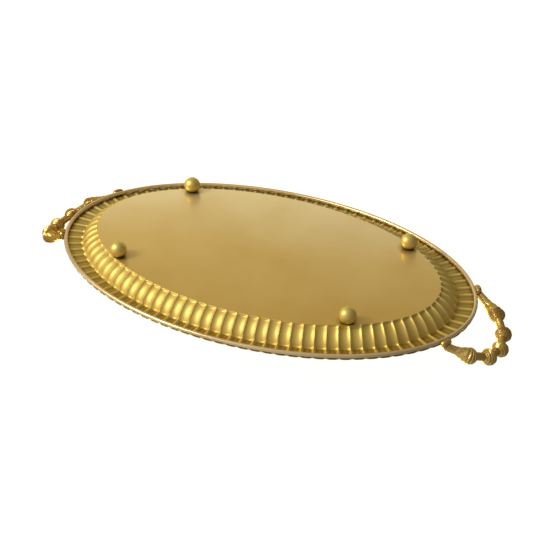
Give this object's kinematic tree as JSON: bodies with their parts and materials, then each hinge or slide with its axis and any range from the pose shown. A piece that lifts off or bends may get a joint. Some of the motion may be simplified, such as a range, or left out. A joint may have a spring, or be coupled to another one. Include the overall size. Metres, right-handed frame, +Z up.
{
  "type": "serving tray",
  "caption": "Oval brass serving tray with a flat floor, fluted wall and flange, a smooth wire rim, ribbed loop handles at the ends, and ball feet.",
  "frame": {"origin": "on the table under the middle of the tray, in the plane that the ball feet stand on", "axes": "+Z up from the feet to the serving side; +X along the tray's length, to the right-hand handle; +Y across the tray, to the back"},
  "size_m": [0.5224, 0.284, 0.063],
  "materials": {
    "sheet_brass": "satin pressed sheet, lightly aged",
    "wire_brass": "satin drawn wire, lightly aged",
    "cast_brass": "polished casting with dark patina in its grooves",
    "ball_brass": "satin turned ball",
    "screw_brass": "satin turned screw"
  },
  "bodies": {
    "root": {"tray_pan": "sheet_brass", "rim_wire": "wire_brass", "handle_right": "cast_brass", "handle_left": "cast_brass", "foot_front_right": "ball_brass", "foot_front_left": "ball_brass", "foot_back_right": "ball_brass", "foot_back_left": "ball_brass", "foot_screws": "screw_brass"}
  },
  "joints": []
}
